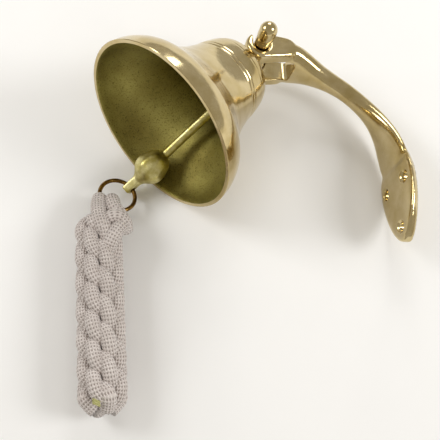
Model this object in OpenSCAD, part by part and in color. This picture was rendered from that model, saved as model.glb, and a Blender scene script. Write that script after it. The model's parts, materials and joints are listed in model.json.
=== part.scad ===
// Small brass ship bell on a wall bracket, with clapper, ring and knotted lanyard.
// It lies folded on a flat surface: the bell leans on its lip and on the end of its cross pin.

/* [Bell] */
// Outside diameter of the mouth
mouth_d = 125; // [100:5:160]
// Height from the mouth plane up to the flat of the crown
bell_h = 85; // [70:1:110]
// Thickness of the cast wall
wall_t = 3; // [2:0.5:4]
// Height from the mouth plane up to the cross pin
pin_h = 97.6; // [95:0.2:125]

/* [Hanging] */
// Diameter of the cross pin
pin_d = 11.6; // [9:0.2:13]
// Diameter of the domed ends of the cross pin
pin_end_d = 12.4; // [10:0.2:14]
// Half the length of the cross pin
pin_reach = 37.1; // [35:0.1:40]
// Diameter of the threaded stud under the lug
stud_d = 8; // [6:0.5:10]
// Width of the staple that carries the clapper
staple_w = 25; // [22:0.5:28]
// Wire diameter of the staple
staple_wire = 3.6; // [3:0.1:4]

/* [Wall bracket] */
// Gap between the two cheeks of the fork
fork_gap = 20; // [18:0.5:24]
// Thickness of each cheek
cheek_t = 8; // [5:0.5:9]
// Radius of the rounded fork end
fork_r = 11.2; // [10.5:0.1:12]
// Distance from the cross pin out to the wall
wall_reach = 100.8; // [96:0.1:130]
// Distance from the cross pin down to the upper screw holes
foot_drop = 94.3; // [90:0.1:120]
// Width of the leaf-shaped foot
foot_w = 47; // [42:1:60]
// Thickness of the foot along its middle
foot_t = 6.8; // [5:0.2:9]
// Diameter of the three screw holes
screw_d = 7.2; // [5:0.2:8]
// Distance between the two upper screw holes
screw_gap = 28; // [24:0.5:32]
// Distance from the upper holes down to the lower one
screw_drop = 31.7; // [28:0.1:36]
// Thickness of the round arm at its narrowest
arm_d = 12.8; // [10:0.2:14]

/* [Clapper] */
// Diameter of the pear-shaped bulb
bulb_d = 24; // [20:0.5:28]
// Distance from the staple to the middle of the bulb
clapper_len = 78.4; // [74:0.1:82]
// Distance from the bulb to the hole in the tail
tail_len = 20.4; // [18:0.2:24]
// Diameter of the hole in the tail
tail_hole_d = 5; // [4.4:0.1:5.4]

/* [Lanyard] */
// Outside diameter of the ring
ring_d = 28; // [25:0.5:30]
// Wire diameter of the ring
ring_wire = 2.9; // [2.4:0.1:3.2]
// Width of the plaited lanyard
lanyard_d = 33.4; // [31:0.2:36]
// Length of the lanyard from the ring to its foot
lanyard_len = 141.5; // [110:0.5:180]

/* [Pose] */
// Compass direction of the bell's axis
bell_turn = 46.4; // [0:0.1:90]
// Lean of the cross pin from upright, about the bell's axis
pin_lean = 5.3; // [3:0.1:7]
// Fold between the bell and its hanging position
fold = 46.6; // [40:0.1:50]
// Compass direction of the lanyard
lanyard_turn = -84.9; // [-100:0.1:-80]

/* [Hidden] */
$fn = 64;
fit = 0.3;
run_fit = 0.1;
mouth_r = mouth_d / 2;
pin_end_r = pin_end_d / 2;
pin_shift = 1.1;
crown_t = wall_t + 1;
side_play = 1.5;
lug_w = fork_gap - 2 * side_play;
washer_t = 1.6;
nut_t = 4.5;
eye_d = 14;
brass = [0.83, 0.72, 0.47];
cast_brass = [0.62, 0.56, 0.24];
cotton = [0.80, 0.75, 0.74];

// Turning matrices, used to find where each piece lies
function turn_x(a) = [[1, 0, 0], [0, cos(a), -sin(a)], [0, sin(a), cos(a)]];
function turn_y(a) = [[cos(a), 0, sin(a)], [0, 1, 0], [-sin(a), 0, cos(a)]];
function turn_z(a) = [[cos(a), -sin(a), 0], [sin(a), cos(a), 0], [0, 0, 1]];
function placed(m, p) = [
    [m[0][0], m[0][1], m[0][2], p[0]],
    [m[1][0], m[1][1], m[1][2], p[1]],
    [m[2][0], m[2][1], m[2][2], p[2]],
    [0, 0, 0, 1]];

// The bell dips until both its lip and the lower pin end touch the surface
dip_a = mouth_r - (pin_reach - pin_shift - pin_end_r) * cos(pin_lean);
dip = atan2(pin_h, dip_a) - acos(pin_end_r / norm([dip_a, pin_h]));
bell_m = turn_z(bell_turn) * turn_y(90 - dip) * turn_z(90 + pin_lean);
bracket_m = bell_m * turn_y(fold);
mouth_p = [0, 0, mouth_r * cos(dip)];
pin_p = mouth_p + bell_m * [0, 0, pin_h];
foot_mid = foot_drop + screw_drop / 3;
origin_p = pin_p + bracket_m * [-wall_reach, 0, -foot_mid];

// Bell outline as radius and height, in shares of the mouth radius and the bell height
flare = [[1, 0], [0.975, 0.1], [0.908, 0.2], [0.8, 0.283], [0.685, 0.375], [0.61, 0.47],
         [0.555, 0.56], [0.51, 0.67], [0.487, 0.765], [0.445, 0.875], [0.37, 0.955], [0.2, 1]];

// The clapper hangs at one side of its staple and rests against the lip
stud_end = bell_h - crown_t - washer_t - nut_t - 0.5;
staple_top = stud_end - staple_wire / 2;
staple_h = staple_top - eye_d / 2 - staple_wire / 2 - fit;
eye_x = -staple_w / 2 + 2.8;
bulb_gap = 0.25;
clapper_tilt = 3.7;
clapper_lean = rest_lean(35, 24);
clapper_m = bell_m * turn_x(-clapper_lean) * turn_y(180 - clapper_tilt);
clapper_p = mouth_p + bell_m * [eye_x, 0, staple_h];
hole_p = clapper_p + clapper_m * [0, 0, clapper_len + tail_len];

// The ring lifts from the tail hole to the middle of the lanyard
ring_r = (ring_d - ring_wire) / 2;
ring_turn = 21;
side = bell_m * [1, 0, 0];
across = bell_m * [0, 1, 0];
along = bell_m * [0, 0, 1];
lift = (lanyard_d / 2 - hole_p[2] + ring_r * sin(ring_turn) * side[2]) / (ring_r * (1 + cos(ring_turn)));
ring_lift = asin(lift / norm([across[2], along[2]])) - atan2(-along[2], across[2]);
ring_out = across * sin(ring_lift) - along * cos(ring_lift);
ring_p = hole_p + ring_r * ring_out;
knot_p = ring_p + ring_r * (ring_out * cos(ring_turn) - side * sin(ring_turn));
knot_axis = side * cos(ring_turn) + ring_out * sin(ring_turn);
ring_up = cross(side, ring_out);

function basis(x, z) = [
    [x[0], cross(z, x)[0], z[0]],
    [x[1], cross(z, x)[1], z[1]],
    [x[2], cross(z, x)[2], z[2]]];

module at(m, p) multmatrix(placed(m, p - origin_p)) children();
module on_bell(h = 0) at(bell_m, mouth_p + bell_m * [0, 0, h]) children();
module on_bracket() at(bracket_m, pin_p) children();
module along_y(d, l) rotate([90, 0, 0]) cylinder(d = d, h = l, center = true);
module along_x(d, l) rotate([0, 90, 0]) cylinder(d = d, h = l, center = true);

// The lean at which the bulb's side meets the inside of the bell, found by halving steps
function inner_r(h) = lookup(h / (bell_h - crown_t), [for (p = flare) [p[1], p[0]]]) * mouth_r - wall_t - 0.6;
function bulb_room(h) = min([for (a = [-75:15:75]) if (h + bulb_d / 2 * sin(a) > -1)
    inner_r(max(0, h + bulb_d / 2 * sin(a))) - bulb_d / 2 * cos(a)]);
function next_lean(a) = asin(min(0.95, (bulb_room(staple_h - clapper_len * cos(a)) - bulb_gap) / clapper_len));
function rest_lean(a, n) = n == 0 ? a : rest_lean((a + next_lean(a)) / 2, n - 1);

// A smooth step from 0 to 1, and a smooth curve through listed points
function ease(t) = let (c = min(1, max(0, t))) c * c * (3 - 2 * c);
function spline(p, i, t) =
    let (a = p[max(0, i - 1)], b = p[i], c = p[i + 1], d = p[min(len(p) - 1, i + 2)])
    0.5 * ((2 * b) + (c - a) * t + (2 * a - 5 * b + 4 * c - d) * t * t + (3 * b - a - 3 * c + d) * t * t * t);
function curve(p, n) = [for (i = [0:len(p) - 2]) for (k = [0:n - 1]) spline(p, i, k / n), p[len(p) - 1]];

function bell_line() = [for (p = curve(flare, 4)) [p[0] * mouth_r, p[1] * bell_h]];
function inner_line() = [for (p = bell_line()) [max(stud_d / 2 + 2, p[0] - wall_t - 0.6 * ease(p[1] / bell_h * 3)),
    p[1] * (bell_h - crown_t) / bell_h]];

module bell_shell() {
    outer = bell_line();
    inner = inner_line();
    n = len(outer);
    color(brass) on_bell() difference() {
        rotate_extrude($fn = 120)
            polygon(concat(outer, [[0, bell_h], [0, bell_h - crown_t]], [for (i = [n - 1:-1:0]) inner[i]]));
        for (h = [0.335, 0.352]) groove(h);
        for (h = [0.72, 0.745, 0.86]) groove(h);
        translate([0, 0, bell_h - 20]) cylinder(d = stud_d + 2 * run_fit, h = 40);
    }
}

// A shallow turned line around the bell at a share of its height
module groove(share) {
    radii = [for (p = flare) [p[1], p[0]]];
    r = lookup(share, radii) * mouth_r;
    rotate_extrude($fn = 120) translate([r + 0.25, share * bell_h]) circle(r = 0.5, $fn = 16);
}

module crown_lug() {
    neck_h = pin_h - bell_h;
    color(brass) on_bell(bell_h) difference() {
        union() {
            cylinder(r1 = 10.5, r2 = 8.5, h = 2.6);
            intersection() {
                cylinder(r = 8.5, h = neck_h);
                translate([-20, -lug_w / 2, 0]) cube([40, lug_w, neck_h]);
            }
            translate([0, 0, neck_h]) along_y(17, lug_w);
            translate([0, 0, stud_end - bell_h]) cylinder(d = stud_d, h = bell_h - stud_end + 1);
        }
        translate([0, 0, neck_h]) along_y(pin_d, lug_w + 1);
    }
}

module crown_washer() {
    color(cast_brass) on_bell(bell_h - crown_t - washer_t) difference() {
        cylinder(d = stud_d * 2.2, h = washer_t);
        translate([0, 0, -1]) cylinder(d = stud_d, h = 4);
    }
}

module crown_nut() {
    color(cast_brass) on_bell(bell_h - crown_t - washer_t - nut_t) difference() {
        cylinder(d = stud_d * 1.9, h = nut_t, $fn = 6);
        translate([0, 0, -1]) cylinder(d = stud_d, h = 8);
    }
}

module cross_pin() {
    end_mid = pin_reach - pin_end_r;
    color(brass) on_bell(pin_h) translate([0, pin_shift, 0]) {
        along_y(pin_d, 2 * end_mid);
        for (s = [-1, 1]) {
            translate([0, s * (end_mid - pin_end_r / 2), 0]) along_y(pin_end_d, pin_end_r);
            translate([0, s * end_mid, 0]) sphere(d = pin_end_d);
        }
    }
}

// A square staple of round wire, fixed under the stud
module clapper_staple() {
    drop = staple_top - staple_h;
    leg = staple_w / 2 + staple_wire / 2;
    color(cast_brass) on_bell(staple_h) {
        along_x(staple_wire, 2 * leg);
        translate([0, 0, drop]) along_x(staple_wire, 2 * leg);
        for (s = [-1, 1]) translate([s * leg, 0, 0]) {
            cylinder(d = staple_wire, h = drop);
            sphere(d = staple_wire);
            translate([0, 0, drop]) sphere(d = staple_wire);
        }
    }
}

// Pear bulb on a round shaft: an eye on the staple above, a flat tail with a hole below
module clapper() {
    r = bulb_d / 2;
    neck = clapper_len - r - 1.5;
    shaft = [[0, 6], [4.3, 6], [4.1, 14], [3.4, 22], [3.4, neck], [5.6, neck + 0.6], [9.4, neck + 4.5],
             [r, clapper_len], [r * 0.86, clapper_len + 6], [6, clapper_len + 10.5], [4.2, clapper_len + 13.5],
             [3.9, clapper_len + tail_len - 3], [0, clapper_len + tail_len - 3]];
    bow = curve([for (i = [5:10]) shaft[i]], 4);
    color(cast_brass) at(clapper_m, clapper_p) difference() {
        union() {
            rotate_extrude() polygon(concat([for (i = [0:4]) shaft[i]], bow, [shaft[11], shaft[12]]));
            along_x(eye_d, 4.6);
            translate([-3.2, -4.2, clapper_len + 13]) cube([6.4, 8.4, tail_len - 8.8]);
        }
        along_x(staple_wire + 2 * fit + 2.2, 10);
        translate([0, 0, clapper_len + tail_len]) along_x(tail_hole_d, 10);
    }
}

module lanyard_ring() {
    color(cast_brass) at(basis(side, ring_up), ring_p)
        rotate_extrude($fn = 96) translate([ring_r, 0]) circle(d = ring_wire, $fn = 32);
}

// The plait as one rounded body beside the knot, with an eye that passes round the ring
module lanyard() {
    r = lanyard_d / 2;
    eye_d = 18;
    color(cotton) difference() {
        union() {
            at(basis(ring_side(), knot_axis), knot_p) cylinder(d = eye_d, h = 12, center = true);
            at(lanyard_m(), lanyard_p) rotate_extrude()
                polygon(concat([[0, 1.5]], curve([[6, 1.5], [11, 5], [14.5, 12], [r - 0.6, 20], [r, 28]], 3),
                    [[r, lanyard_len - 13]],
                    [for (a = [15:15:75]) [r - 9 + 9 * cos(a), lanyard_len - 13 + 9 * sin(a)]],
                    [[0, lanyard_len - 4]]));
        }
        at(basis(ring_side(), knot_axis), knot_p) cylinder(d = 8.4, h = 60, center = true);
    }
}

function ring_side() = cross(knot_axis, ring_up);
function lanyard_dir() = [cos(lanyard_turn), sin(lanyard_turn), 0];
function lanyard_m() = basis([0, 0, 1], lanyard_dir());
lanyard_shift = 7.9;
lanyard_p = knot_p - cross([0, 0, 1], lanyard_dir()) * lanyard_shift;

// Thread that holds the tucked ends at the foot of the lanyard
module lanyard_stitching() {
    color("olive") at(lanyard_m(), lanyard_p + lanyard_dir() * (lanyard_len - 4)) cylinder(r = 5, h = 1.4);
}

// Arm as an oval that runs from the fork root down into the foot: out, up, half width, half thickness
arm_line = [[-14, 1.3, 18.5, 10], [-22, 0.8, 18.5, 9.6], [-30, -0.8, 16.8, 8.7], [-38, -3.5, 13.2, 7.8],
            [-46, -7.2, 10, 7], [-56, -12.3, 7.4, 6.5], [-68, -19.8, 6.3, 6.3], [-80, -30.5, 7.2, 5.8],
            [-88, -41, 9.6, 5.2], [-93, -52, 13, 4.6], [-96, -64, 17, 4.1], [-98, -76, 20.5, 3.5],
            [-98.6, -88, 21.5, 3]];
root_half = fork_gap / 2 + cheek_t;
arm_drawn = [101.5, 94.3, 18, 47, 12.8];
function arm_scale(p) = [p[0] * wall_reach / arm_drawn[0], p[1] * foot_drop / arm_drawn[1],
    p[2] * (p[0] > -34 ? root_half / arm_drawn[2] : p[0] < -90 ? foot_w / arm_drawn[3] : arm_d / arm_drawn[4]),
    p[3] * arm_d / arm_drawn[4]];
arm_sides = 16;
function oval(c, d) = [for (k = [0:arm_sides - 1])
    let (a = 360 * k / arm_sides, e = 0.8,
         u = sign(cos(a)) * pow(abs(cos(a)), e) * c[2], v = sign(sin(a)) * pow(abs(sin(a)), e) * c[3])
    [c[0] - d[1] * v, u, c[1] + d[0] * v]];

module arm() {
    line = curve([for (p = arm_line) arm_scale(p)], 2);
    n = len(line);
    rings = [for (i = [0:n - 1])
        let (a = line[max(0, i - 1)], b = line[min(n - 1, i + 1)], d = [b[0] - a[0], b[1] - a[1]])
        oval(line[i], d / norm(d))];
    polyhedron(points = [for (ring = rings) for (p = ring) p],
        faces = concat([[for (k = [0:arm_sides - 1]) k]],
            [for (i = [0:n - 2]) for (k = [0:arm_sides - 1])
                let (a = i * arm_sides + k, b = i * arm_sides + (k + 1) % arm_sides)
                [b, a, a + arm_sides, b + arm_sides]],
            [[for (k = [arm_sides - 1:-1:0]) (n - 1) * arm_sides + k]]));
}

// Leaf outline of the foot, widest between the upper screw holes
foot_top = foot_drop - 30;
foot_tip = foot_drop + screw_drop + 11;
foot_crown_r = 200;
function leaf(z) = z < foot_drop ? 12 + (foot_w / 2 - 12) * sin(90 * (z - foot_top) / (foot_drop - foot_top))
    : foot_w / 2 * pow(cos(90 * (z - foot_drop) / (foot_tip - foot_drop)), 0.62);

module foot() {
    edge = [for (k = [0:20]) let (z = foot_top + (foot_tip - foot_top) * k / 20) [leaf(z), z]];
    intersection() {
        translate([-wall_reach, 0, 0]) rotate([90, 0, 90]) linear_extrude(foot_t)
            polygon(concat([for (p = edge) [p[0], -p[1]]], [for (k = [19:-1:0]) [-edge[k][0], -edge[k][1]]]));
        translate([-wall_reach + foot_t - foot_crown_r, 0, -foot_tip - 1])
            cylinder(r = foot_crown_r, h = foot_tip + 2, $fn = 240);
    }
}

module screw_hole(y, drop) {
    front = -wall_reach + foot_t - y * y / (2 * foot_crown_r);
    translate([-wall_reach - 1, y, -drop]) rotate([0, 90, 0]) cylinder(d = screw_d, h = 20);
    translate([front - 1.2, y, -drop]) rotate([0, 90, 0]) cylinder(d1 = screw_d, d2 = screw_d + 5, h = 2.6);
    translate([front + 1.4, y, -drop]) rotate([0, 90, 0]) cylinder(d = screw_d + 5, h = 12);
}

module wall_bracket() {
    notch = pin_d + 2 * fit + 0.6;
    slot_end = -27;
    color(brass) on_bracket() difference() {
        union() {
            rotate([90, 0, 0]) linear_extrude(2 * root_half, center = true) hull() {
                circle(r = fork_r);
                translate([-18, 1]) circle(r = fork_r - 2.7);
            }
            arm();
            foot();
        }
        translate([slot_end, 0, -30]) linear_extrude(60) offset(r = 3) offset(delta = -3)
            translate([0, -fork_gap / 2]) square([60, fork_gap]);
        along_y(notch, 60);
        translate([-notch / 2, -30, 0]) cube([notch, 60, 30]);
        translate([-30, -30, 9]) cube([60, 60, 30]);
        translate([-wall_reach - 20, -40, -foot_tip - 5]) cube([20, 80, foot_tip + 5]);
        for (y = [-screw_gap / 2, screw_gap / 2]) screw_hole(y, foot_drop);
        screw_hole(0, foot_drop + screw_drop);
    }
}

wall_bracket();
bell_shell();
crown_lug();
crown_washer();
crown_nut();
cross_pin();
clapper_staple();
clapper();
lanyard_ring();
lanyard();
lanyard_stitching();
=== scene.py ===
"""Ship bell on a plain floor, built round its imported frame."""

import json
import math
import random

import bmesh
import bpy
from mathutils import Matrix, Vector


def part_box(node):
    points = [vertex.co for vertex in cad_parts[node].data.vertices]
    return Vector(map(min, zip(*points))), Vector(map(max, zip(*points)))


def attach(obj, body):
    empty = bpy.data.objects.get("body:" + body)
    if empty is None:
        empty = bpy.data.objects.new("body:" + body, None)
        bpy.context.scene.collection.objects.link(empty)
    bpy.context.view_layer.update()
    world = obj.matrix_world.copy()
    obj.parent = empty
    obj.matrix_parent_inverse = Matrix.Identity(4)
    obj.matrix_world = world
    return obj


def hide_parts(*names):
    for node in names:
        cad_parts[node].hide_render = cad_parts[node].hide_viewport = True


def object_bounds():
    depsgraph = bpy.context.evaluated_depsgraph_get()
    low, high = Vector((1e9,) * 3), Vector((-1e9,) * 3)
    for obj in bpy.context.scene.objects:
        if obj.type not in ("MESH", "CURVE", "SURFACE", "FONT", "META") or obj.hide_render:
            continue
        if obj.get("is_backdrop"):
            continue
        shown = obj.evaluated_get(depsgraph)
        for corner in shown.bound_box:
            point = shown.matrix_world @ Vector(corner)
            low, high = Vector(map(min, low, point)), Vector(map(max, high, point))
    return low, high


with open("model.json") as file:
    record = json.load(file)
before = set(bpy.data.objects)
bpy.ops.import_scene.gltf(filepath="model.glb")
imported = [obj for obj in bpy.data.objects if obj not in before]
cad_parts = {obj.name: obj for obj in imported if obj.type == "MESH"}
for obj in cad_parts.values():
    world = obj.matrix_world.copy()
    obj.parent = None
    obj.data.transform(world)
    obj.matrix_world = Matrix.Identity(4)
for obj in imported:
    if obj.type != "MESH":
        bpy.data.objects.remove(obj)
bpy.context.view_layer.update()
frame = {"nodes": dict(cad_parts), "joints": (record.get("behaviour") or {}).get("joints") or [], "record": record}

bl_info = {
    "name": "Ship Bell",
    "version": (1, 0, 0),
    "blender": (4, 5, 0),
    "location": "View3D > Sidebar > Ship Bell",
    "description": "A brass ship bell with its bracket, clapper, ring and plaited lanyard",
    "category": "Add Mesh",
}

MM = 0.001
JOINTS = {joint["name"]: joint for joint in frame["joints"]}
MOUNTS = {mount["name"]: mount for mount in frame["record"]["mounts"]}


# ---------------------------------------------------------------- places

def joint_place(name):
    return Vector(JOINTS[name]["pos_m"])


def joint_axis(name):
    return Vector(JOINTS[name]["axis"]).normalized()


def standing(x_axis, z_axis, place):
    """The matrix that puts a piece modelled upright at its place."""
    y_axis = z_axis.cross(x_axis).normalized()
    turn = Matrix((x_axis.normalized(), y_axis, z_axis.normalized())).transposed().to_4x4()
    turn.translation = place
    return turn


def bell_place(height=0.0):
    """Bell frame: +Z from the mouth to the crown, +Y along the cross pin."""
    size = bpy.context.scene.ship_bell
    side, pin = joint_axis("clapper_swing"), joint_axis("bell_swing")
    up = side.cross(pin).normalized()
    return standing(side, up, joint_place("bell_swing") - up * (size.pin_height - height))


def bracket_place():
    """Bracket frame: +Z up the wall, +X away from it, middle of the cross pin at the origin."""
    out = -Vector(MOUNTS["wall_face"]["axis"]).normalized()
    pin = joint_axis("bell_swing")
    return standing(out, out.cross(pin), joint_place("bell_swing"))


# ---------------------------------------------------------------- modelling by hand

def deselect():
    if bpy.context.object and bpy.context.object.mode != "OBJECT":
        bpy.ops.object.mode_set(mode="OBJECT")
    bpy.ops.object.select_all(action="DESELECT")


def pick(piece):
    deselect()
    piece.select_set(True)
    bpy.context.view_layer.objects.active = piece


def smooth_curve(points, steps):
    """Catmull-Rom curve through the points, each a tuple of numbers."""
    out = []
    last = len(points) - 1
    for i in range(last):
        a, b = points[max(0, i - 1)], points[i]
        c, d = points[i + 1], points[min(last, i + 2)]
        for k in range(steps):
            t = k / steps
            out.append(tuple(
                0.5 * (2 * q + (r - p) * t + (2 * p - 5 * q + 4 * r - s) * t * t
                       + (3 * q - p - 3 * r + s) * t ** 3)
                for p, q, r, s in zip(a, b, c, d)))
    out.append(tuple(points[-1]))
    return out


def turned(name, outline, steps=96):
    """A lathe piece: the outline, (radius, height) in mm, is extruded point by point and spun."""
    deselect()
    bpy.ops.mesh.primitive_plane_add(size=0.01)
    piece = bpy.context.object
    piece.name = piece.data.name = name
    bpy.ops.object.mode_set(mode="EDIT")
    bpy.ops.mesh.select_all(action="SELECT")
    bpy.ops.mesh.merge(type="CENTER")
    r, h = outline[0]
    bpy.ops.transform.translate(value=(r * MM, 0, h * MM))
    for nr, nh in outline[1:]:
        step = ((nr - r) * MM, 0, (nh - h) * MM)
        bpy.ops.mesh.extrude_vertices_move(TRANSFORM_OT_translate={"value": step})
        r, h = nr, nh
    bpy.ops.mesh.select_all(action="SELECT")
    bpy.ops.mesh.spin(steps=steps, angle=2 * math.pi, center=(0, 0, 0), axis=(0, 0, 1))
    tidy_shape()
    return piece


def tidy_shape():
    """Merges doubles and turns the faces outwards, in edit mode, then leaves it."""
    bpy.ops.mesh.select_all(action="SELECT")
    bpy.ops.mesh.remove_doubles(threshold=1e-6)
    bpy.ops.mesh.normals_make_consistent(inside=False)
    bpy.ops.object.mode_set(mode="OBJECT")


def lofted(name, rings):
    """A piece that starts as a circle and is extruded through each ring of points, in mm."""
    deselect()
    bpy.ops.mesh.primitive_circle_add(vertices=len(rings[0]), radius=MM, fill_type="NGON")
    piece = bpy.context.object
    piece.name = piece.data.name = name
    bpy.ops.object.mode_set(mode="EDIT")
    bpy.ops.mesh.select_all(action="SELECT")
    for i, ring in enumerate(rings):
        if i:
            bpy.ops.mesh.extrude_region_move(TRANSFORM_OT_translate={"value": (0, 0, 0)})
        shape = bmesh.from_edit_mesh(piece.data)
        face = [f for f in shape.faces if f.select][0]
        for vert, point in zip(face.verts, ring):
            vert.co = Vector(point) * MM
        bmesh.update_edit_mesh(piece.data)
    tidy_shape()
    return piece


def block(name, low, high, bevel=0.0):
    """A bevelled block between two corners, in mm."""
    deselect()
    middle = [(a + b) / 2 * MM for a, b in zip(low, high)]
    size = [(b - a) * MM for a, b in zip(low, high)]
    bpy.ops.mesh.primitive_cube_add(size=1, location=middle)
    piece = bpy.context.object
    piece.name = piece.data.name = name
    piece.scale = size
    bpy.ops.object.transform_apply(location=True, rotation=True, scale=True)
    if bevel:
        bpy.ops.object.mode_set(mode="EDIT")
        bpy.ops.mesh.select_all(action="SELECT")
        bpy.ops.mesh.bevel(offset=bevel * MM, segments=4, affect="EDGES")
        tidy_shape()
    return piece


def rod(name, radius, length, axis, middle, sides=64, top=None):
    """A round bar or cone along X, Y or Z, in mm, used to join or to cut."""
    deselect()
    turns = {"X": (0, math.pi / 2, 0), "Y": (math.pi / 2, 0, 0), "Z": (0, 0, 0)}
    bpy.ops.mesh.primitive_cone_add(
        vertices=sides, radius1=radius * MM, radius2=(radius if top is None else top) * MM,
        depth=length * MM, location=[v * MM for v in middle], rotation=turns[axis])
    piece = bpy.context.object
    piece.name = piece.data.name = name
    bpy.ops.object.transform_apply(location=True, rotation=True, scale=True)
    return piece


def combine(piece, tool, how):
    """Joins, cuts or keeps what is common with the tool, which is then removed."""
    pick(piece)
    change = piece.modifiers.new("combine", "BOOLEAN")
    change.operation = how
    change.object = tool
    change.solver = "EXACT"
    bpy.ops.object.modifier_apply(modifier=change.name)
    bpy.data.objects.remove(tool)
    return piece


def melted(piece, voxel, rounds, factor=0.5):
    """Remeshes and smooths a casting so that its parts flow into each other, as after fettling."""
    pick(piece)
    change = piece.modifiers.new("remesh", "REMESH")
    change.mode = "VOXEL"
    change.voxel_size = voxel * MM
    bpy.ops.object.modifier_apply(modifier=change.name)
    change = piece.modifiers.new("smooth", "SMOOTH")
    change.factor = factor
    change.iterations = rounds
    bpy.ops.object.modifier_apply(modifier=change.name)
    return piece


def finished(piece, place, material, body, node, angle=40):
    """Puts a modelled piece at its place, smooths it, gives it its finish, ties it to its body and hides the CAD
    node it replaces.
    """
    piece.data.transform(place)
    pick(piece)
    bpy.ops.object.shade_smooth_by_angle(angle=math.radians(angle))
    deselect()
    piece.data.materials.clear()
    piece.data.materials.append(material)
    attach(piece, body)
    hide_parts(node)
    return piece


# ---------------------------------------------------------------- materials

def hex_colour(text):
    """An sRGB hex value as linear RGBA."""
    values = [int(text[i:i + 2], 16) / 255 for i in (1, 3, 5)]
    linear = [v / 12.92 if v <= 0.04045 else ((v + 0.055) / 1.055) ** 2.4 for v in values]
    return (*linear, 1.0)


def add(tree, kind, settings=None, inputs=None, links=None):
    """Adds a node with its settings, its input values and the links into it."""
    node = tree.nodes.new(kind)
    for key, value in (settings or {}).items():
        setattr(node, key, value)
    for key, value in (inputs or {}).items():
        node.inputs[key].default_value = value
    for key, source in (links or {}).items():
        tree.links.new(source, node.inputs[key])
    return node


def material(name):
    made = bpy.data.materials.new(name)
    made.use_nodes = True
    tree = made.node_tree
    tree.nodes.clear()
    return made, tree


def blend(tree, factor, low, high):
    """A colour between two hex values by a factor."""
    return add(tree, "ShaderNodeMix", {"data_type": "RGBA"},
               {6: hex_colour(low), 7: hex_colour(high)}, {0: factor}).outputs[2]


def span(tree, value, low, high, out_low=0.0, out_high=1.0):
    """Maps a value from one range to another, clamped."""
    return add(tree, "ShaderNodeMapRange", {}, {1: low, 2: high, 3: out_low, 4: out_high},
               {0: value}).outputs[0]


def noise(tree, place, size_mm, detail=3.0, rough=0.5):
    """Noise whose features are about the given size on Object coordinates in metres."""
    return add(tree, "ShaderNodeTexNoise", {},
               {"Scale": 1 / (size_mm * MM), "Detail": detail, "Roughness": rough},
               {"Vector": place}).outputs[0]


def close(tree, shader):
    add(tree, "ShaderNodeOutputMaterial", links={"Surface": shader.outputs[0]})


def polished_brass():
    """Polished cast brass: buffed, a little wavy, with fine hair scratches and thin tarnish."""
    size = bpy.context.scene.ship_bell
    made, tree = material("polished_cast_brass")
    place = add(tree, "ShaderNodeTexCoord").outputs["Object"]
    tarnish = span(tree, noise(tree, place, 22, 4, 0.6), 0.38, 0.68)
    colour = blend(tree, tarnish, size.brass_bright, size.brass_tarnished)
    stretched = add(tree, "ShaderNodeMapping", {}, {"Scale": (1.0, 0.12, 1.0)}, {"Vector": place})
    hair = noise(tree, stretched.outputs[0], 0.5, 2, 0.6)
    wave = noise(tree, place, 9, 2, 0.4)
    rough = span(tree, noise(tree, place, 6, 5, 0.65), 0.3, 0.75, 0.10, 0.19)
    scratch = add(tree, "ShaderNodeBump", {}, {"Strength": 0.035, "Distance": 0.0004},
                  {"Height": hair})
    swell = add(tree, "ShaderNodeBump", {}, {"Strength": 0.10, "Distance": 0.002},
                {"Height": wave, "Normal": scratch.outputs[0]})
    close(tree, add(tree, "ShaderNodeBsdfPrincipled", {}, {"Metallic": 1.0},
                    {"Base Color": colour, "Roughness": rough, "Normal": swell.outputs[0]}))
    return made


def rough_brass():
    """Brass as cast in sand: matt and grainy, olive with dull oxide, never buffed."""
    size = bpy.context.scene.ship_bell
    made, tree = material("sand_cast_brass")
    place = add(tree, "ShaderNodeTexCoord").outputs["Object"]
    grain = noise(tree, place, 1.1, 6, 0.7)
    stain = span(tree, noise(tree, place, 40, 4, 0.5), 0.36, 0.66)
    base = blend(tree, stain, size.cast_light, size.cast_dark)
    pits = span(tree, noise(tree, place, 1.2, 3, 0.8), 0.46, 0.30)
    dark = add(tree, "ShaderNodeMix", {"data_type": "RGBA", "blend_type": "MULTIPLY"},
               {7: hex_colour("#6e6640")}, {0: pits, 6: base}).outputs[2]
    bump = add(tree, "ShaderNodeBump", {}, {"Strength": 0.55, "Distance": 0.0006},
               {"Height": grain})
    rough = span(tree, grain, 0.3, 0.7, 0.52, 0.34)
    close(tree, add(tree, "ShaderNodeBsdfPrincipled", {}, {"Metallic": 0.85},
                    {"Base Color": dark, "Roughness": rough, "Normal": bump.outputs[0]}))
    return made


def fettled_brass():
    """Cast brass filed and handled: brighter than the raw skin, with flats left by the file."""
    made, tree = material("filed_cast_brass")
    place = add(tree, "ShaderNodeTexCoord").outputs["Object"]
    patch = span(tree, noise(tree, place, 7, 4, 0.6), 0.38, 0.66)
    colour = blend(tree, patch, "#e4dba0", "#bdb061")
    fine = noise(tree, place, 0.9, 4, 0.7)
    bump = add(tree, "ShaderNodeBump", {}, {"Strength": 0.25, "Distance": 0.0004}, {"Height": fine})
    rough = span(tree, fine, 0.3, 0.7, 0.26, 0.42)
    close(tree, add(tree, "ShaderNodeBsdfPrincipled", {}, {"Metallic": 1.0},
                    {"Base Color": colour, "Roughness": rough, "Normal": bump.outputs[0]}))
    return made


def bronze_wire():
    """Drawn brass wire gone brown with handling, brighter where it rubs."""
    made, tree = material("browned_brass_wire")
    place = add(tree, "ShaderNodeTexCoord").outputs["Object"]
    worn = span(tree, noise(tree, place, 3, 4, 0.6), 0.45, 0.7)
    colour = blend(tree, worn, "#6b4f25", "#b08a45")
    bump = add(tree, "ShaderNodeBump", {}, {"Strength": 0.15, "Distance": 0.0003},
               {"Height": noise(tree, place, 0.8, 3, 0.6)})
    rough = span(tree, worn, 0, 1, 0.38, 0.22)
    close(tree, add(tree, "ShaderNodeBsdfPrincipled", {}, {"Metallic": 1.0},
                    {"Base Color": colour, "Roughness": rough, "Normal": bump.outputs[0]}))
    return made


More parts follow.
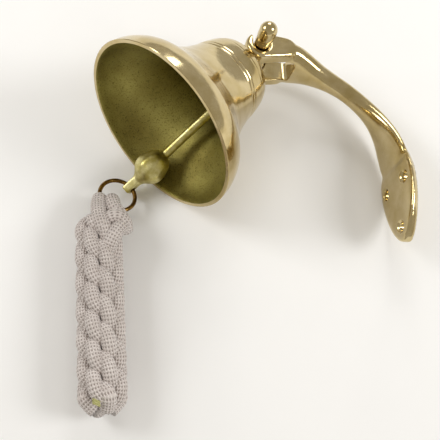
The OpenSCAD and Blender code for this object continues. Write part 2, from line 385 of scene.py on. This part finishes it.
def wave_of(tree, uv, around, along):
    """A sine over the cord's own map: whole turns around, and turns per metre along."""
    split = add(tree, "ShaderNodeSeparateXYZ", links={0: uv})
    a = add(tree, "ShaderNodeMath", {"operation": "MULTIPLY"}, {1: along * 2 * math.pi},
            {0: split.outputs[0]}).outputs[0]
    b = add(tree, "ShaderNodeMath", {"operation": "MULTIPLY_ADD"}, {1: around * 2 * math.pi},
            {0: split.outputs[1], 2: a}).outputs[0]
    return add(tree, "ShaderNodeMath", {"operation": "SINE"}, links={0: b}).outputs[0]


def cotton_cord():
    """Hollow-braided cotton cord, unbleached and handled, with painted shade in the gaps between its yarns."""
    size = bpy.context.scene.ship_bell
    made, tree = material("braided_cotton")
    uv = add(tree, "ShaderNodeUVMap", {"uv_map": "cord"}).outputs[0]
    place = add(tree, "ShaderNodeTexCoord").outputs["Object"]
    pitch = 2 * size.yarn_gap
    yarns = 8
    right = wave_of(tree, uv, yarns, 1 / pitch)
    left = wave_of(tree, uv, -yarns, 1 / pitch)
    weave = add(tree, "ShaderNodeMath", {"operation": "MULTIPLY"},
                links={0: right, 1: left}).outputs[0]
    fuzz = noise(tree, place, 0.35, 3, 0.7)
    height = add(tree, "ShaderNodeMath", {"operation": "MULTIPLY_ADD"}, {1: 0.35},
                 {0: fuzz, 2: weave}).outputs[0]
    # Where the braid's relief is low the colour turns to the darker gap colour: painted shade in the holes between
    # the yarns.
    gap = span(tree, height, -0.75, 0.05)
    soil = span(tree, noise(tree, place, 9, 4, 0.6), 0.35, 0.75)
    yarn = blend(tree, soil, size.cotton_light, size.cotton_soiled)
    colour = add(tree, "ShaderNodeMix", {"data_type": "RGBA"}, {6: hex_colour("#9a8b84")},
                 {0: gap, 7: yarn}).outputs[2]
    bump = add(tree, "ShaderNodeBump", {}, {"Strength": 0.9, "Distance": 0.0007},
               {"Height": height})
    close(tree, add(tree, "ShaderNodeBsdfPrincipled", {},
                    {"Roughness": 0.92, "Sheen Weight": 0.35, "Sheen Roughness": 0.5},
                    {"Base Color": colour, "Normal": bump.outputs[0]}))
    return made


def sewing_thread():
    """Waxed linen thread, yellow-green with age, of three plies twisted at 1.2 mm."""
    made, tree = material("waxed_thread")
    uv = add(tree, "ShaderNodeUVMap", {"uv_map": "cord"}).outputs[0]
    plies, twist = 3, 0.0012
    ply = wave_of(tree, uv, plies, 1 / twist)
    # The colour follows the ply relief: painted shade in the grooves between the plies, painted highlight on their
    # crests.
    colour = blend(tree, span(tree, ply, -1, 1), "#a5a35c", "#dbd79a")
    bump = add(tree, "ShaderNodeBump", {}, {"Strength": 0.6, "Distance": 0.0003}, {"Height": ply})
    close(tree, add(tree, "ShaderNodeBsdfPrincipled", {}, {"Roughness": 0.6},
                    {"Base Color": colour, "Normal": bump.outputs[0]}))
    return made


def floor_paint():
    """Matt white studio paper with the faintest mottling."""
    made, tree = material("studio_paper")
    place = add(tree, "ShaderNodeTexCoord").outputs["Object"]
    colour = blend(tree, noise(tree, place, 60, 3), "#f6f6f5", "#fbfbfa")
    close(tree, add(tree, "ShaderNodeBsdfPrincipled", {}, {"Roughness": 0.9},
                    {"Base Color": colour}))
    return made


# ---------------------------------------------------------------- settings

class ShipBellSettings(bpy.types.PropertyGroup):
    """Sizes in metres and colours as sRGB hex values."""
    mouth_radius: bpy.props.FloatProperty(
        name="Mouth radius", description="Outer radius of the lip", default=0.0625,
        unit="LENGTH", subtype="DISTANCE")
    bell_height: bpy.props.FloatProperty(
        name="Bell height", description="From the mouth to the flat of the crown", default=0.085,
        unit="LENGTH", subtype="DISTANCE")
    pin_height: bpy.props.FloatProperty(
        name="Pin height", description="From the mouth to the cross pin", default=0.0976,
        unit="LENGTH", subtype="DISTANCE")
    wall: bpy.props.FloatProperty(
        name="Wall", description="Thickness of the cast wall at the lip", default=0.003,
        unit="LENGTH", subtype="DISTANCE")
    cord_radius: bpy.props.FloatProperty(
        name="Cord radius", description="Radius of one plaited cotton cord", default=0.0050,
        unit="LENGTH", subtype="DISTANCE")
    lanyard_length: bpy.props.FloatProperty(
        name="Lanyard length", description="From the ring to the foot of the plait", default=0.1415,
        unit="LENGTH", subtype="DISTANCE")
    plait_pitch: bpy.props.FloatProperty(
        name="Plait pitch", description="Length of one round of crown knots", default=0.0188,
        unit="LENGTH", subtype="DISTANCE")
    yarn_gap: bpy.props.FloatProperty(
        name="Yarn gap", description="Distance between the holes of the braid", default=0.0018,
        unit="LENGTH", subtype="DISTANCE")
    brass_bright: bpy.props.StringProperty(
        name="Bright brass", description="Freshly buffed brass", default="#d2c196")
    brass_tarnished: bpy.props.StringProperty(
        name="Tarnished brass", description="Brass with a thin brown film", default="#baa56e")
    cast_light: bpy.props.StringProperty(
        name="Cast brass", description="Clean skin of the casting", default="#b3a95f")
    cast_dark: bpy.props.StringProperty(
        name="Cast brass, stained", description="Oxide on the casting", default="#84783a")
    cotton_light: bpy.props.StringProperty(
        name="Cotton", description="Clean cotton yarn", default="#efe6e1")
    cotton_soiled: bpy.props.StringProperty(
        name="Cotton, handled", description="Yarn darkened by handling", default="#dcd1cb")


# ---------------------------------------------------------------- the bell

# Outline of the bell in shares of the mouth radius and of the bell height
FLARE = [(1, 0), (0.975, 0.1), (0.908, 0.2), (0.8, 0.283), (0.685, 0.375), (0.61, 0.47),
         (0.555, 0.56), (0.51, 0.67), (0.487, 0.765), (0.445, 0.875), (0.37, 0.955), (0.2, 1)]


class SHIPBELL_OT_bell(bpy.types.Operator):
    """Turn the bell: flared lip, waist, grooves and rounded shoulder, rough inside"""
    bl_idname = "ship_bell.bell"
    bl_label = "Bell"

    # How much thicker the waist and the crown are than the lip, and the bore for the stud, in mm
    waist_extra = 0.6
    crown_extra = 1
    bore = 4.1

    def execute(self, context):
        size = context.scene.ship_bell
        mouth, height = size.mouth_radius / MM, size.bell_height / MM
        wall = size.wall / MM
        outer = [(r * mouth, h * height) for r, h in smooth_curve(FLARE, 16)]
        outer = [(r + self.relief(h / height), h) for r, h in outer]
        crown = wall + self.crown_extra
        inner = []
        for r, h in smooth_curve(FLARE, 3):
            thick = wall + self.waist_extra * min(1, h * 3)
            inner.append((max(self.bore, r * mouth - thick), h * (height - crown)))
        line = [(self.bore, height)] + outer[::-1][1:-1] + [(mouth - 0.1, 0.35), (mouth - 0.5, 0)]
        line += [(mouth - wall + 0.4, 0), (mouth - wall, 0.5)] + inner[1:-1]
        line += [(self.bore, height - crown), (self.bore, height)]
        piece = turned("bell", line, 160)
        inside = self.inside_faces(piece, wall, mouth)
        finished(piece, bell_place(), polished_brass(), "bell", "bell_shell", 35)
        piece.data.materials.append(rough_brass())
        for face in inside:
            piece.data.polygons[face].material_index = 1
        return {"FINISHED"}

    def relief(self, share):
        """Fine turned lines in mm: a pair at the waist and three round the shoulder."""
        depth = 0.0
        for place, width, cut in ((0.335, 0.004, 0.22), (0.352, 0.004, 0.22), (0.7, 0.005, 0.25),
                                  (0.735, 0.005, 0.25), (0.86, 0.005, 0.25)):
            depth -= cut * math.exp(-((share - place) / width) ** 2)
        return depth

    def inside_faces(self, piece, wall, mouth):
        """Faces whose normal points at the axis or down, above the lip."""
        found = []
        for face in piece.data.polygons:
            middle = face.center
            flat = Vector((middle.x, middle.y, 0))
            inward = face.normal.dot(flat) < 0 or face.normal.z < -0.3 and middle.z > 0.5 * MM
            if inward and middle.z > 0.2 * MM and flat.length < (mouth - wall * 0.4) * MM:
                found.append(face.index)
        return found


class SHIPBELL_OT_lug(bpy.types.Operator):
    """Model the crown lug with its round eye, and its stud through the crown"""
    bl_idname = "ship_bell.lug"
    bl_label = "Crown lug"

    # Width along the pin, radii of the head, the eye and the stud, and the stud's length, in mm
    width = 17
    head = 8.5
    eye = 5.75
    stud = 3.95
    stud_length = 10.6

    def execute(self, context):
        size = context.scene.ship_bell
        neck = (size.pin_height - size.bell_height) / MM
        half = self.width / 2
        base = [(0, -8), (9.6, -0.4), (10.4, 0), (10.2, 1.4), (9, 2.4), (8.4, 3.4),
                (8.4, neck), (0, neck)]
        piece = turned("lug", base, 64)
        combine(piece, block("cheek", (-20, -half, -9), (20, half, neck + 9)), "INTERSECT")
        combine(piece, rod("head", self.head, self.width, "Y", (0, 0, neck)), "UNION")
        melted(piece, 0.45, 6)
        combine(piece, rod("eye", self.eye, 40, "Y", (0, 0, neck)), "DIFFERENCE")
        combine(piece, block("under", (-20, -20, -20), (20, 20, 0)), "DIFFERENCE")
        low = -self.stud_length
        stud = turned("stud", [(0, low), (self.stud - 0.35, low), (self.stud, low + 0.5),
                               (self.stud, 0.5), (0, 0.5)], 48)
        combine(piece, stud, "UNION")
        finished(piece, bell_place(size.bell_height), polished_brass(), "bell", "crown_lug",
                 30)
        return {"FINISHED"}


class SHIPBELL_OT_pin(bpy.types.Operator):
    """Turn the cross pin with its two domed ends"""
    bl_idname = "ship_bell.pin"
    bl_label = "Cross pin"

    # Radii of the ends and of the shaft, half the length, and how far it sits off centre, in mm
    radius = 6.2
    shaft = 5.75
    reach = 37.1
    shift = 1.1

    def execute(self, context):
        size = context.scene.ship_bell
        radius, reach = self.radius, self.reach
        dome = [(radius * math.cos(a), reach - radius + radius * math.sin(a))
                for a in [math.radians(6 * k) for k in range(16)]]
        half = [(self.shaft, 9), (self.shaft, reach - 13.5), (radius - 0.1, reach - 12.4),
                (radius, reach - 11)]
        half += dome[:-1] + [(0, reach)]
        line = [(r, -h) for r, h in half[::-1]] + half
        piece = turned("pin", line, 64)
        piece.data.transform(Matrix.Rotation(-math.pi / 2, 4, "X"))
        piece.data.transform(Matrix.Translation((0, self.shift * MM, 0)))
        finished(piece, bell_place(size.pin_height), polished_brass(), "bell", "cross_pin",
                 35)
        return {"FINISHED"}


class SHIPBELL_OT_fixings(bpy.types.Operator):
    """Finish the washer, the nut and the staple inside the crown"""
    bl_idname = "ship_bell.fixings"
    bl_label = "Washer, nut and staple"

    def execute(self, context):
        metal = rough_brass()
        for node in ("crown_washer", "crown_nut", "clapper_staple"):
            piece = frame["nodes"][node]
            piece.data.materials.clear()
            piece.data.materials.append(metal)
        return {"FINISHED"}


# ---------------------------------------------------------------- the bracket

class SHIPBELL_OT_bracket(bpy.types.Operator):
    """Cast the wall bracket: open fork, curved arm and leaf-shaped foot with three holes"""
    bl_idname = "ship_bell.bracket"
    bl_label = "Wall bracket"

    # From the pin to the wall and down to the holes, and the foot's own sizes, in mm
    wall_reach = 100.8
    foot_drop = 94.3
    screw_drop = 31.7
    screw_half = 14.0
    foot_half = 23.5
    foot_thick = 6.8
    leaf_top = foot_drop - 30
    leaf_tip = foot_drop + screw_drop + 11
    leaf_top_half = 12
    # The front of the foot falls by the squared distance from its middle over this
    foot_crown = 400
    screw_bore = 3.6
    sink_radius = 6.6
    sink_depth = 3.2
    # The fork: half its width, its round end, and the smaller round end where it meets the arm
    root_half = 18.0
    fork_radius = 11.2
    root_x = -18
    root_z = 1
    root_less = 2.7
    # The slot, the open seat for the pin and the flat top of the cheeks
    slot_half = 10
    slot_end = -27
    slot_corner = 3
    seat_radius = 6.4
    fork_top = 9.3
    # Middle of the arm (out, up), its half width and its half thickness, in mm
    arm_line = [(-14, 1.3, 18, 9.4), (-22, 0.8, 18.2, 9.2), (-30, -0.8, 16.8, 8.6),
                (-38, -3.5, 13.2, 7.8), (-46, -7.2, 10, 7), (-56, -12.3, 7.4, 6.5),
                (-68, -19.8, 6.3, 6.3), (-79.5, -30.5, 7.2, 5.8), (-87.4, -41, 9.6, 5.2),
                (-92.4, -52, 13, 4.6), (-95.3, -64, 16.6, 4.1), (-97.2, -76, 18, 3.6),
                (-98.4, -90, 13, 2.6), (-98.8, -104, 7, 1.8)]

    def execute(self, context):
        piece = self.arm()
        combine(piece, self.foot(), "UNION")
        combine(piece, self.cheeks(), "UNION")
        melted(piece, 0.7, 12)
        self.cut(piece)
        melted(piece, 0.48, 3)
        self.flatten_back(piece)
        finished(piece, bracket_place(), polished_brass(), "bracket", "wall_bracket",
                 60)
        return {"FINISHED"}

    def arm(self):
        """The arm as rounded cross-sections along its bent middle line."""
        line = smooth_curve(self.arm_line, 3)
        last = len(line) - 1
        sides, roundness = 32, 0.85
        rings = []
        for i, (x, z, wide, high) in enumerate(line):
            before, after = line[max(0, i - 1)], line[min(last, i + 1)]
            length = math.hypot(after[0] - before[0], after[1] - before[1])
            dx, dz = (after[0] - before[0]) / length, (after[1] - before[1]) / length
            ring = []
            for k in range(sides):
                a = 2 * math.pi * k / sides
                u = math.copysign(abs(math.cos(a)) ** roundness, math.cos(a)) * wide
                v = math.copysign(abs(math.sin(a)) ** roundness, math.sin(a)) * high
                ring.append((x - dz * v, u, z + dx * v))
            rings.append(ring)
        return lofted("bracket", rings)

    def cheeks(self):
        """Both cheeks before the slot is cut: a rounded end that narrows towards the arm."""
        rings = []
        sides = 48
        for y, inset in ((-1, 2.6), (-0.985, 1.5), (-0.94, 0.5), (-0.88, 0), (0.88, 0), (0.94, 0.5),
                         (0.985, 1.5), (1, 2.6)):
            ring = []
            for k in range(sides):
                nx, nz = math.cos(2 * math.pi * k / sides), math.sin(2 * math.pi * k / sides)
                r = self.fork_radius - inset
                small = r - self.root_less
                if self.root_x * nx + self.root_z * nz > self.root_less:
                    place = (self.root_x + small * nx, y * self.root_half, self.root_z + small * nz)
                    ring.append(place)
                else:
                    ring.append((r * nx, y * self.root_half, r * nz))
            rings.append(ring)
        return lofted("cheeks", rings)

    def leaf(self, z):
        """Half width of the foot at a height below the pin."""
        if z < self.foot_drop:
            share = (z - self.leaf_top) / (self.foot_drop - self.leaf_top)
            growth = self.foot_half - self.leaf_top_half
            return self.leaf_top_half + growth * math.sin(math.pi / 2 * share)
        share = (z - self.foot_drop) / (self.leaf_tip - self.foot_drop)
        return self.foot_half * math.cos(math.pi / 2 * min(1.0, share)) ** 0.62

    def foot(self):
        """The leaf-shaped foot from the top down: flat back, crowned front and thin edges."""
        rings = []
        rows, thin_rows, front_steps, back_steps = 44, 12, 24, 7
        for k in range(rows + 1):
            z = self.leaf_top + (self.leaf_tip - 0.2 - self.leaf_top) * k / rows
            half = self.leaf(z)
            thick = self.foot_thick - 3.5 * max(0.0, 1 - k / thin_rows)
            ring = []
            for j in range(front_steps + 1):
                y = half * math.cos(math.pi * j / front_steps)
                front = thick - y * y / self.foot_crown - 1.2 * abs(y / half) ** 10
                ring.append((-self.wall_reach + front, y, -z))
            for j in range(back_steps):
                y = -half + half * 2 * (j + 0.5) / back_steps
                ring.append((-self.wall_reach + 0.05, y, -z))
            rings.append(ring)
        return lofted("foot", rings)

    def cut(self, piece):
        """Cuts the slot, the open pin seats, the flat back and the three countersunk holes."""
        combine(piece, block("top", (-16, -33, self.fork_top), (33, 33, 40)), "DIFFERENCE")
        end, half, corner = self.slot_end, self.slot_half, self.slot_corner
        for y in (half - corner, corner - half):
            cut = rod("slot_corner", corner, 60, "Z", (end + corner, y, 0), 32)
            combine(piece, cut, "DIFFERENCE")
        cut = block("slot_end", (end, corner - half, -30), (-20, half - corner, 30))
        combine(piece, cut, "DIFFERENCE")
        cut = block("slot_open", (end + corner, -half, -30), (40, half, 30))
        combine(piece, cut, "DIFFERENCE")
        combine(piece, rod("seat", self.seat_radius, 60, "Y", (0, 0, 0)), "DIFFERENCE")
        # A hair narrower than the seat, so that the two cuts don't share a face
        half = self.seat_radius - 0.04
        combine(piece, block("open", (-half, -31, 0), (half, 31, 31)), "DIFFERENCE")
        back = block("back", (-130, -40, -160), (-self.wall_reach, 40, 0))
        combine(piece, back, "DIFFERENCE")
        for y, drop in ((self.screw_half, self.foot_drop), (-self.screw_half, self.foot_drop),
                        (0, self.foot_drop + self.screw_drop)):
            front = -self.wall_reach + self.foot_thick - y * y / self.foot_crown
            hole = rod("hole", self.screw_bore, 40, "X", (front, y, -drop))
            combine(piece, hole, "DIFFERENCE")
            sink = rod("sink", self.screw_bore, self.sink_depth, "X", (front + 0.2, y, -drop),
                       top=self.sink_radius)
            combine(piece, sink, "DIFFERENCE")

    def flatten_back(self, piece):
        """Presses the back face onto the wall plane again after smoothing."""
        for vert in piece.data.vertices:
            if vert.co.x < (-self.wall_reach + 0.35) * MM:
                vert.co.x = -self.wall_reach * MM


# ---------------------------------------------------------------- clapper and ring

class SHIPBELL_OT_clapper(bpy.types.Operator):
    """Cast the clapper: eye, round shaft, pear bulb and flat tail with its hole"""
    bl_idname = "ship_bell.clapper"
    bl_label = "Clapper"

    # From the staple to the bulb and on to the tail's hole, then the radii and widths, in mm
    length = 78.4
    tail = 20.4
    eye_radius = 6.9
    eye_width = 4.6
    eye_bore = 3.2
    tail_hole = 2.5

    def execute(self, context):
        far = self.length
        neck = far - 13.5
        line = [(0, 4), (4.3, 4), (4.2, 13), (3.5, 21), (3.4, neck), (4.2, neck + 0.5)]
        bulb = smooth_curve([(5.6, neck + 0.8), (9.4, neck + 4.7), (11.9, far), (10.3, far + 6),
                             (6, far + 10.5), (4.2, far + 13.5), (3.9, far + self.tail - 3)], 5)
        piece = turned("clapper_rod", line + bulb + [(0, far + self.tail - 3)], 10)
        melted(piece, 0.6, 9)
        eye = rod("eye", self.eye_radius, self.eye_width, "X", (0, 0, 0), 48)
        combine(piece, eye, "UNION")
        tail = block("tail", (-3.1, -4.1, far + 13), (3.1, 4.1, far + self.tail + 4.1), 1.0)
        combine(piece, tail, "UNION")
        melted(piece, 0.5, 3)
        combine(piece, rod("bore", self.eye_bore, 12, "X", (0, 0, 0), 48), "DIFFERENCE")
        hole = rod("hole", self.tail_hole, 12, "X", (0, 0, far + self.tail), 32)
        combine(piece, hole, "DIFFERENCE")
        finished(piece, self.place(), fettled_brass(), "clapper", "clapper", 50)
        return {"FINISHED"}

    def place(self):
        """+Z from the staple to the tail, +X along the hinge as nearly as the tail allows."""
        start, hole = joint_place("clapper_swing"), joint_place("ring_swing")
        down = (hole - start).normalized()
        side = joint_axis("clapper_swing")
        side = (side - down * side.dot(down)).normalized()
        return standing(side, down, start)


class SHIPBELL_OT_ring(bpy.types.Operator):
    """Bend the ring from round wire, with the butt joint where its ends meet"""
    bl_idname = "ship_bell.ring"
    bl_label = "Ring"

    # Radius of the bend and of the wire, in mm, and where the ends meet, as an angle in degrees
    radius = 12.55
    wire = 1.45
    butt = 70

    def execute(self, context):
        deselect()
        bpy.ops.mesh.primitive_torus_add(major_segments=128, minor_segments=24,
                                         major_radius=self.radius * MM,
                                         minor_radius=self.wire * MM)
        piece = context.object
        piece.name = piece.data.name = "wire_ring"
        joint = math.radians(self.butt)
        for vert in piece.data.vertices:
            angle = math.atan2(vert.co.y, vert.co.x)
            gap = abs((angle - joint + math.pi) % (2 * math.pi) - math.pi)
            pinch = 1 - 0.16 * math.exp(-(gap / 0.03) ** 2)
            centre = Vector((math.cos(angle), math.sin(angle), 0)) * self.radius * MM
            vert.co = centre + (vert.co - centre) * pinch
        finished(piece, self.place(), bronze_wire(), "ring", "lanyard_ring", 60)
        return {"FINISHED"}

    def place(self):
        low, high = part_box("lanyard_ring")
        middle = (low + high) / 2
        side = joint_axis("ring_swing")
        out = (middle - joint_place("ring_swing")).normalized()
        return standing(side, side.cross(out), middle)


# ---------------------------------------------------------------- the lanyard

def tube(points, radii, sides, start=0.0):
    """Vertices, faces and cord map of a round tube along the points, closed at both ends."""
    verts, faces, maps = [], [], []
    travel = start
    count = len(points)
    side = None
    for i, point in enumerate(points):
        ahead = points[min(count - 1, i + 1)] - points[max(0, i - 1)]
        ahead = ahead.normalized() if ahead.length > 1e-9 else Vector((0, 0, 1))
        if side is None:
            side = ahead.orthogonal().normalized()
        side = (side - ahead * side.dot(ahead)).normalized()
        other = ahead.cross(side)
        if i:
            travel += (point - points[i - 1]).length
        for k in range(sides):
            a = 2 * math.pi * k / sides
            verts.append(point + (side * math.cos(a) + other * math.sin(a)) * radii[i])
            maps.append((travel, k / sides))
    for i in range(count - 1):
        for k in range(sides):
            j = (k + 1) % sides
            faces.append((i * sides + k, i * sides + j, (i + 1) * sides + j, (i + 1) * sides + k))
    faces.append(tuple(range(sides - 1, -1, -1)))
    faces.append(tuple((count - 1) * sides + k for k in range(sides)))
    return verts, faces, maps


def cord_mesh(name, tubes):
    """One mesh of several tubes, with a map in metres along and turns around."""
    verts, faces, maps = [], [], []
    for v, f, m in tubes:
        shift = len(verts)
        verts += v
        maps += m
        faces += [tuple(i + shift for i in face) for face in f]
    mesh = bpy.data.meshes.new(name)
    mesh.from_pydata(verts, [], faces)
    layer = mesh.uv_layers.new(name="cord")
    for face in mesh.polygons:
        values = [maps[mesh.loops[i].vertex_index] for i in face.loop_indices]
        wraps = max(v for u, v in values) > 0.75 and min(v for u, v in values) < 0.2
        for i, (u, v) in zip(face.loop_indices, values):
            layer.data[i].uv = (u, v + 1 if wraps and v < 0.2 else v)
    piece = bpy.data.objects.new(name, mesh)
    bpy.context.scene.collection.objects.link(piece)
    return piece


class SHIPBELL_OT_lanyard(bpy.types.Operator):
    """Plait the lanyard: eight braided cords crowned over each other, looped over the ring"""
    bl_idname = "ship_bell.lanyard"
    bl_label = "Lanyard"

    # Where the plait starts and what it leaves at the foot, how far its cords run from its
    # middle, and how far that middle lies beside the ring, in metres
    first = 0.0089
    foot_room = 0.007
    outer = 0.0119
    inner = 0.0050
    beside = 0.0079
    # The way the lanyard lies on the floor, in degrees from +X, and how finely a cord is drawn
    floor_angle = -84.9
    steps = 24
    sides = 20
    # Cords at the head, in mm from the knot: x across, y up from the floor, z towards the foot
    head = (
        [(-6.6, -6, 14), (-6.6, -6.4, 6), (-6.6, -5.2, -1), (-6.6, -2.6, -5), (-6.6, 1.5, -6),
         (-6.6, 5, -3.5), (-6.6, 7.4, 2), (-6.0, 9.9, 9), (-4.0, 9.8, 17), (-1.5, 4.5, 24)],
        [(1.9, -6, 14), (1.9, -6.4, 6), (1.9, -5.2, 0), (1.9, -2.8, -3.8), (1.9, 1.2, -4.8),
         (2.3, 5, -2), (4.2, 6.6, 3.4), (7.8, 5.0, 8.5), (9.2, 0, 13)],
        [(-4, 1, 11), (0.6, 7.6, 10.5), (5.6, 9.2, 9.6), (9.6, 5, 12), (10.2, -2, 16)],
        [(9.6, 1, 15), (7.4, 8.0, 17.5), (3.4, 10.8, 23.5), (-0.5, 8.5, 30), (-2.5, 2, 34)])

    def execute(self, context):
        size = context.scene.ship_bell
        self.place = self.lay()
        rounds = (size.lanyard_length - self.first - self.foot_room) / size.plait_pitch
        strands = [self.strand(size, k, rounds) for k in range(8)]
        radius = size.cord_radius
        tubes = [tube(s, [radius] * len(s), self.sides, 0.01 * k) for k, s in enumerate(strands)]
        for k, points in enumerate(self.head):
            line = [self.place @ (Vector(p) * MM) for p in smooth_curve(points, 6)]
            tubes.append(tube(line, [radius * 1.08] * len(line), self.sides, 0.013 * k))
        piece = cord_mesh("plait", tubes)
        pick(piece)
        bpy.ops.object.shade_smooth()
        deselect()
        piece.data.materials.append(cotton_cord())
        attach(piece, "lanyard")
        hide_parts("lanyard")
        self.stitch(size)
        return {"FINISHED"}

    def lay(self):
        """Lanyard frame: +Z from the ring to the foot, +Y up from the floor, +X across."""
        low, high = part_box("lanyard_stitching")
        start = joint_place("lanyard_swing")
        middle = (low + high) / 2
        up = Vector((0, 0, 1))
        angle = math.radians(self.floor_angle)
        along = Vector((math.cos(angle), math.sin(angle), 0))
        assert abs((middle - start).dot(up.cross(along)) + self.beside) < 0.003
        return standing(up.cross(along), along, start)

    def strand(self, size, k, rounds):
        """One cord: out over a neighbour, then in under the next, a quarter turn each round."""
        shift = 0.5 * (k % 2)
        turn = math.radians(16 + 45 * k + 90 * shift)
        out = []
        for i in range(int(rounds * self.steps) + 1):
            t = i / self.steps
            wave = math.sin(2 * math.pi * (t - shift))
            swell = (0.5 + 0.5 * math.cos(2 * math.pi * (t - shift))) ** 0.65
            angle = turn - math.pi / 2 * (t - 0.10 * wave)
            radius = self.inner + (self.outer - self.inner) * swell
            radius *= min(1, 0.75 + 0.5 * t) * min(1, 0.45 + 2.2 * (rounds - t))
            height = self.first + size.plait_pitch * (t + 0.11 * wave)
            out.append(self.place @ Vector((radius * math.cos(angle) - self.beside,
                                            radius * math.sin(angle), height)))
        return out

    def stitch(self, size):
        """A few turns of thread through the foot of the plait."""
        rng = random.Random(7)
        tubes = []
        turns, steps, thread = 5, 16, 0.00045
        end = size.lanyard_length - 0.0095
        for k in range(turns):
            spread = (k - 2) * 0.0007
            path = []
            for i in range(steps + 1):
                t = i / steps
                x = -self.beside - 0.0042 + 0.0042 * t + rng.uniform(-1, 1) * 0.00012
                bulge = math.sin(math.pi * t)
                height = 0.0135 + 0.0032 * bulge
                path.append(self.place @ Vector((x, height, end + spread + 0.002 * t)))
            tubes.append(tube(path, [thread] * len(path), 8, 0.002 * k))
        piece = cord_mesh("thread_stitches", tubes)
        pick(piece)
        bpy.ops.object.shade_smooth()
        deselect()
        piece.data.materials.append(sewing_thread())
        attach(piece, "lanyard")
        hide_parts("lanyard_stitching")


# ---------------------------------------------------------------- stage

class SHIPBELL_OT_stage(bpy.types.Operator):
    """Set the pale floor, the soft lights and the camera above the bell"""
    bl_idname = "ship_bell.stage"
    bl_label = "Stage"

    def execute(self, context):
        self.camera(context)
        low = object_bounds()[0]
        deselect()
        bpy.ops.mesh.primitive_plane_add(size=6, location=(-0.06, 0, low[2] - 0.0002))
        floor = context.object
        floor.name = "floor"
        floor.data.transform(floor.matrix_world)
        floor.matrix_world = Matrix.Identity(4)
        floor.data.materials.append(floor_paint())
        floor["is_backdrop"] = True
        self.light("key", (0.95, -0.15, 0.8), 0.45, 7.5)
        self.light("fill", (-0.95, 0.25, 0.75), 0.45, 4)
        self.light("back", (0.05, 1.05, 0.65), 0.45, 4)
        self.surround(context)
        return {"FINISHED"}

    def camera(self, context):
        """Looks down from a little in front at a point between the bell and the bracket."""
        rise, roll = math.radians(69.6), math.radians(0.75)
        distance, aim = 0.55, Vector((-0.1268, -0.0085, -0.0216))
        back = Vector((0, -math.cos(rise), math.sin(rise)))
        right, up = Vector((1, 0, 0)), back.cross(Vector((1, 0, 0)))
        across = right * math.cos(roll) + up * math.sin(roll)
        upright = up * math.cos(roll) - right * math.sin(roll)
        turn = Matrix((across, upright, back)).transposed().to_4x4()
        turn.translation = aim + back * distance
        data = bpy.data.cameras.new("camera")
        data.sensor_width = 36
        data.lens = 63.4
        data.clip_start = 0.01
        eye = bpy.data.objects.new("camera", data)
        context.scene.collection.objects.link(eye)
        eye.matrix_world = turn
        context.scene.camera = eye

    def light(self, name, place, size, power):
        data = bpy.data.lights.new(name, "AREA")
        data.shape = "SQUARE"
        data.size = size
        data.energy = power
        lamp = bpy.data.objects.new(name, data)
        bpy.context.scene.collection.objects.link(lamp)
        target = Vector((-0.1, 0.02, 0))
        lamp.location = place
        lamp.rotation_euler = (target - Vector(place)).to_track_quat("-Z", "Y").to_euler()

    def surround(self, context):
        """An even pale studio, a little darker overhead."""
        world = bpy.data.worlds.new("studio")
        context.scene.world = world
        world.use_nodes = True
        tree = world.node_tree
        tree.nodes.clear()
        way = add(tree, "ShaderNodeTexCoord").outputs["Generated"]
        rise = add(tree, "ShaderNodeSeparateXYZ", links={0: way}).outputs[2]
        share = span(tree, rise, 0.15, 0.95)
        colour = blend(tree, share, "#f4efe6", "#e6dfd4")
        sky = add(tree, "ShaderNodeBackground", {}, {"Strength": 0.56}, {"Color": colour})
        add(tree, "ShaderNodeOutputWorld", links={"Surface": sky.outputs[0]})
        context.scene.view_settings.view_transform = "Standard"


class SHIPBELL_PT_panel(bpy.types.Panel):
    """Builds the ship bell piece by piece"""
    bl_idname = "SHIPBELL_PT_panel"
    bl_label = "Ship Bell"
    bl_space_type = "VIEW_3D"
    bl_region_type = "UI"
    bl_category = "Ship Bell"

    def draw(self, context):
        for name in ShipBellSettings.__annotations__:
            self.layout.prop(context.scene.ship_bell, name)
        for operator in OPERATORS:
            self.layout.operator(operator.bl_idname)


OPERATORS = (SHIPBELL_OT_bell, SHIPBELL_OT_lug, SHIPBELL_OT_pin, SHIPBELL_OT_fixings,
             SHIPBELL_OT_bracket, SHIPBELL_OT_clapper, SHIPBELL_OT_ring, SHIPBELL_OT_lanyard,
             SHIPBELL_OT_stage)
CLASSES = (ShipBellSettings,) + OPERATORS + (SHIPBELL_PT_panel,)


def register():
    for item in CLASSES:
        bpy.utils.register_class(item)
    bpy.types.Scene.ship_bell = bpy.props.PointerProperty(type=ShipBellSettings)


def unregister():
    del bpy.types.Scene.ship_bell
    for item in reversed(CLASSES):
        bpy.utils.unregister_class(item)


def main():
    register()
    bpy.ops.ship_bell.bell()
    bpy.ops.ship_bell.lug()
    bpy.ops.ship_bell.pin()
    bpy.ops.ship_bell.fixings()
    bpy.ops.ship_bell.bracket()
    bpy.ops.ship_bell.clapper()
    bpy.ops.ship_bell.ring()
    bpy.ops.ship_bell.lanyard()
    bpy.ops.ship_bell.stage()


if __name__ == "__main__":
    main()
